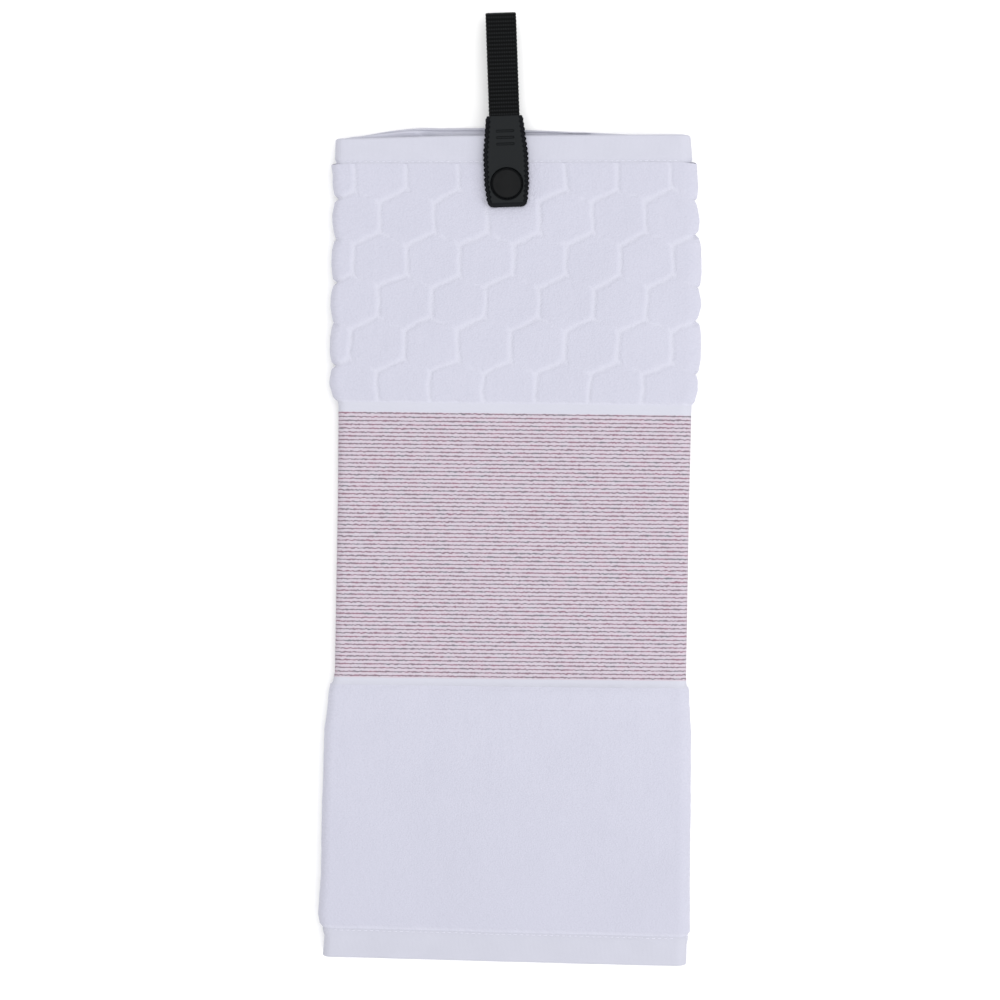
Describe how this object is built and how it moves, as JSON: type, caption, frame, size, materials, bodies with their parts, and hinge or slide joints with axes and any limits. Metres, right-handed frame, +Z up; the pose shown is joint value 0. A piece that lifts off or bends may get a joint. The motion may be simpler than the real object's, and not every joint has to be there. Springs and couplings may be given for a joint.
{
  "type": "golf towel",
  "caption": "Terry golf towel folded in three lengthwise, with a honeycomb zone, a striped woven band and a black webbing loop snapped to its top edge.",
  "frame": {"origin": "bottom centre of the whole object's box, on the surface that the folded towel lies on", "axes": "+Z up out of the towel's front face, +Y along the towel from its bottom hem towards the strap, +X to the right seen from the front"},
  "size_m": [0.178, 0.4676, 0.0159],
  "materials": {
    "terry": "matte looped terry, white with a lavender cast",
    "hem": "matte flat woven hem",
    "band": "matte flat jacquard with thin mauve lines on pinkish white",
    "thread": "spun polyester thread",
    "rubber": "satin moulded rubber",
    "webbing": "black woven webbing",
    "snap": "satin moulded plastic",
    "eyelet": "satin"
  },
  "bodies": {
    "root": {"front_top_hem": "hem", "front_honeycomb": "terry", "front_band": "band", "front_terry": "terry", "front_bottom_hem": "hem", "left_fold": "terry", "inner_top_hem": "hem", "inner_honeycomb": "terry", "inner_band": "band", "inner_terry": "terry", "inner_bottom_hem": "hem", "inner_side_hem": "hem", "front_hem_threads": "thread", "inner_hem_threads": "thread", "towel_eyelet": "eyelet"},
    "outer_flap": {"outer_top_hem": "hem", "outer_honeycomb": "terry", "outer_band": "band", "outer_terry": "terry", "outer_bottom_hem": "hem", "outer_side_hem": "hem", "outer_hem_threads": "thread"},
    "right_roll": {"right_fold": "terry"},
    "strap": {"rear_tab": "rubber", "rear_webbing": "webbing", "webbing_crown": "webbing", "snap_post": "snap", "snap_stud": "snap"},
    "front_clip": {"front_tab": "rubber", "front_webbing": "webbing", "snap_cap": "snap", "snap_socket": "snap"}
  },
  "joints": [
    {"name": "strap_swivel", "type": "hinge", "parent": "root", "child": "strap", "pos_m": [-0.0039, 0.14862, 0.0116], "axis": [0, 0, 1], "range_deg": [-40, 40]},
    {"name": "snap_open", "type": "hinge", "parent": "strap", "child": "front_clip", "pos_m": [-0.00792, 0.23393, 0.01005], "axis": [-0.9989, -0.0471, 0], "range_deg": [0, 150], "deforming": ["webbing_crown"]},
    {"name": "outer_flap_open", "type": "hinge", "parent": "root", "child": "right_roll", "pos_m": [0.08634, 0, 0.00894], "axis": [0, -1, 0], "range_deg": [0, 90], "deforming": ["right_fold"]},
    {"name": "right_fold_unroll", "type": "hinge", "parent": "right_roll", "child": "outer_flap", "pos_m": [0.08634, 0, 0.00266], "axis": [0, -1, 0], "range_deg": [0, 90]}
  ],
  "couplings": [
    {"joint": "right_fold_unroll", "follows": "outer_flap_open", "ratio": 1}
  ]
}
